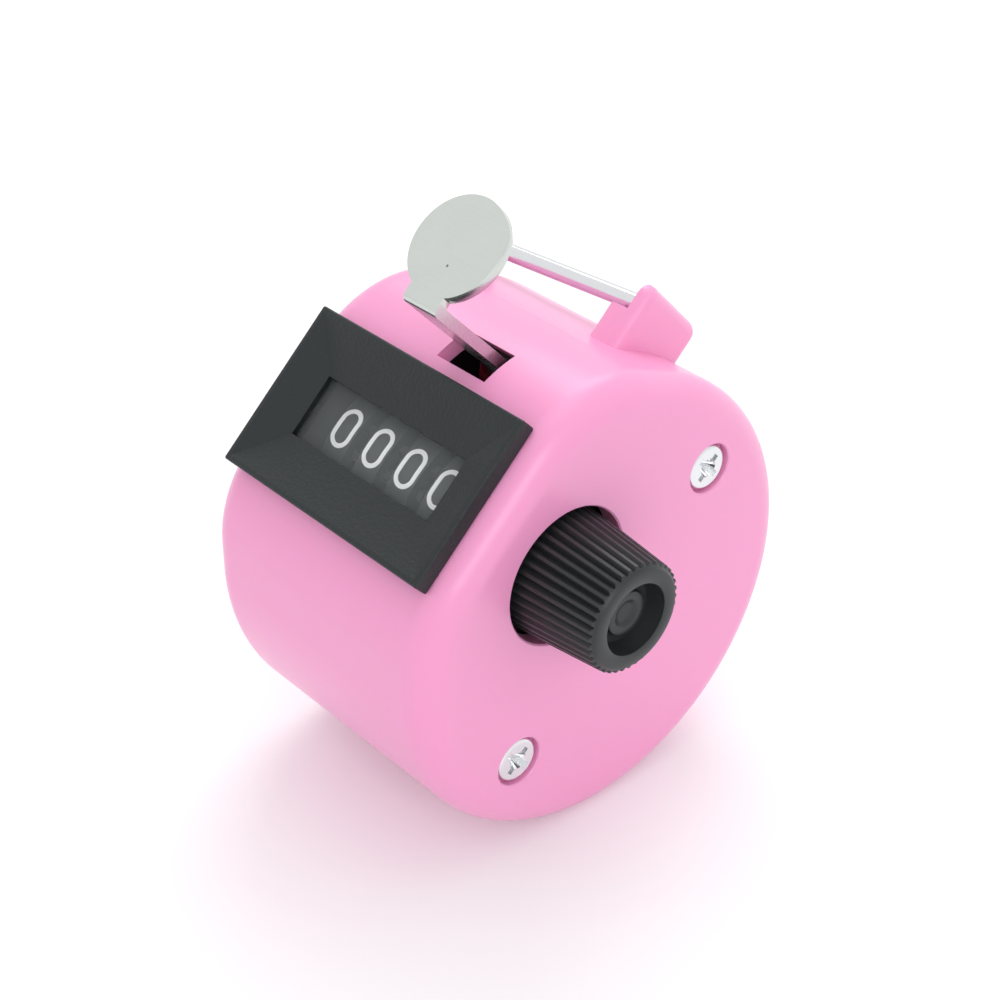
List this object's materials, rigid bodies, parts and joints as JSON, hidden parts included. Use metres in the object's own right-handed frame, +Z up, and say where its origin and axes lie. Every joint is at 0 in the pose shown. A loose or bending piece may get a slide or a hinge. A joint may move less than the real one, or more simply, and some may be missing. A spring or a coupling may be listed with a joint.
{
  "type": "hand tally counter",
  "caption": "Hand tally counter: drum case with a framed number window, thumb lever that counts one step per press, and a side knob that resets it.",
  "frame": {"origin": "centre of the standing flat under the drum, below the drum axis", "axes": "+Z up; +X along the drum towards the reset knob; -Y towards the side the display faces"},
  "size_m": [0.0407, 0.0472, 0.0625],
  "materials": {
    "pink_case": "satin moulded plastic",
    "bright_screw": "nickel plated",
    "black_bezel": "fine moulded grain",
    "clear_lens": "clear polished",
    "bright_bar": "polished wire",
    "nickel_lever": "nickel plated sheet",
    "black_knob": "moulded",
    "grey_wheel": "moulded",
    "white_pinion": "moulded",
    "blackened_steel": "blackened",
    "plain_steel": "zinc plated"
  },
  "bodies": {
    "case": {"case_shell": "pink_case", "end_cover": "pink_case", "case_screws": "bright_screw", "bezel": "black_bezel", "window_lens": "clear_lens", "strap_bar": "bright_bar", "side_plate_left": "blackened_steel", "side_plate_right": "blackened_steel", "frame_posts": "plain_steel", "pinion_shaft": "plain_steel", "lever_pivot": "plain_steel", "lever_spring": "plain_steel", "retaining_spring": "plain_steel"},
    "lever": {"thumb_lever": "nickel_lever", "pawl_pin": "plain_steel"},
    "pawl": {"drive_pawl": "plain_steel"},
    "units": {"wheel_units": "grey_wheel", "ratchet_wheel": "plain_steel"},
    "tens": {"wheel_tens": "grey_wheel"},
    "hundreds": {"wheel_hundreds": "grey_wheel"},
    "thousands": {"wheel_thousands": "grey_wheel"},
    "reset": {"reset_shaft": "plain_steel", "reset_knob": "black_knob", "shaft_clip": "plain_steel", "spacer_left": "plain_steel", "spacer_right": "plain_steel"},
    "pinion_tens": {"carry_pinion_tens": "white_pinion"},
    "pinion_hundreds": {"carry_pinion_hundreds": "white_pinion"},
    "pinion_thousands": {"carry_pinion_thousands": "white_pinion"}
  },
  "joints": [
    {"name": "lever_press", "type": "hinge", "parent": "case", "child": "lever", "pos_m": [0, 0.00468, 0.04103], "axis": [1, 0, 0], "range_deg": [0, 8], "stiffness_Nm_per_rad": 0.12, "springref_deg": -14.32},
    {"name": "pawl_swing", "type": "hinge", "parent": "lever", "child": "pawl", "pos_m": [0, -0.01547, 0.03264], "axis": [1, 0, 0], "range_deg": [-10, 0], "stiffness_Nm_per_rad": 0.004, "springref_deg": 11.46},
    {"name": "units_turn", "type": "hinge", "parent": "case", "child": "units", "pos_m": [0, -0.00635, 0.03071], "axis": [1, 0, 0], "range_deg": [0, 36]},
    {"name": "reset_turn", "type": "hinge", "parent": "case", "child": "reset", "pos_m": [0, -0.00635, 0.03071], "axis": [1, 0, 0], "continuous": true},
    {"name": "tens_turn", "type": "hinge", "parent": "case", "child": "tens", "pos_m": [0, -0.00635, 0.03071], "axis": [1, 0, 0], "continuous": true},
    {"name": "hundreds_turn", "type": "hinge", "parent": "case", "child": "hundreds", "pos_m": [0, -0.00635, 0.03071], "axis": [1, 0, 0], "continuous": true},
    {"name": "thousands_turn", "type": "hinge", "parent": "case", "child": "thousands", "pos_m": [0, -0.00635, 0.03071], "axis": [1, 0, 0], "continuous": true},
    {"name": "pinion_tens_turn", "type": "hinge", "parent": "case", "child": "pinion_tens", "pos_m": [0, 0.00021, 0.0205], "axis": [1, 0, 0], "continuous": true},
    {"name": "pinion_hundreds_turn", "type": "hinge", "parent": "case", "child": "pinion_hundreds", "pos_m": [0, 0.00021, 0.0205], "axis": [1, 0, 0], "continuous": true},
    {"name": "pinion_thousands_turn", "type": "hinge", "parent": "case", "child": "pinion_thousands", "pos_m": [0, 0.00021, 0.0205], "axis": [1, 0, 0], "continuous": true}
  ],
  "couplings": [
    {"joint": "units_turn", "follows": "lever_press", "ratio": 4.5},
    {"joint": "tens_turn", "follows": "reset_turn", "ratio": 1},
    {"joint": "hundreds_turn", "follows": "reset_turn", "ratio": 1},
    {"joint": "thousands_turn", "follows": "reset_turn", "ratio": 1},
    {"joint": "pinion_tens_turn", "follows": "reset_turn", "ratio": -2.5},
    {"joint": "pinion_hundreds_turn", "follows": "reset_turn", "ratio": -2.5},
    {"joint": "pinion_thousands_turn", "follows": "reset_turn", "ratio": -2.5}
  ]
}
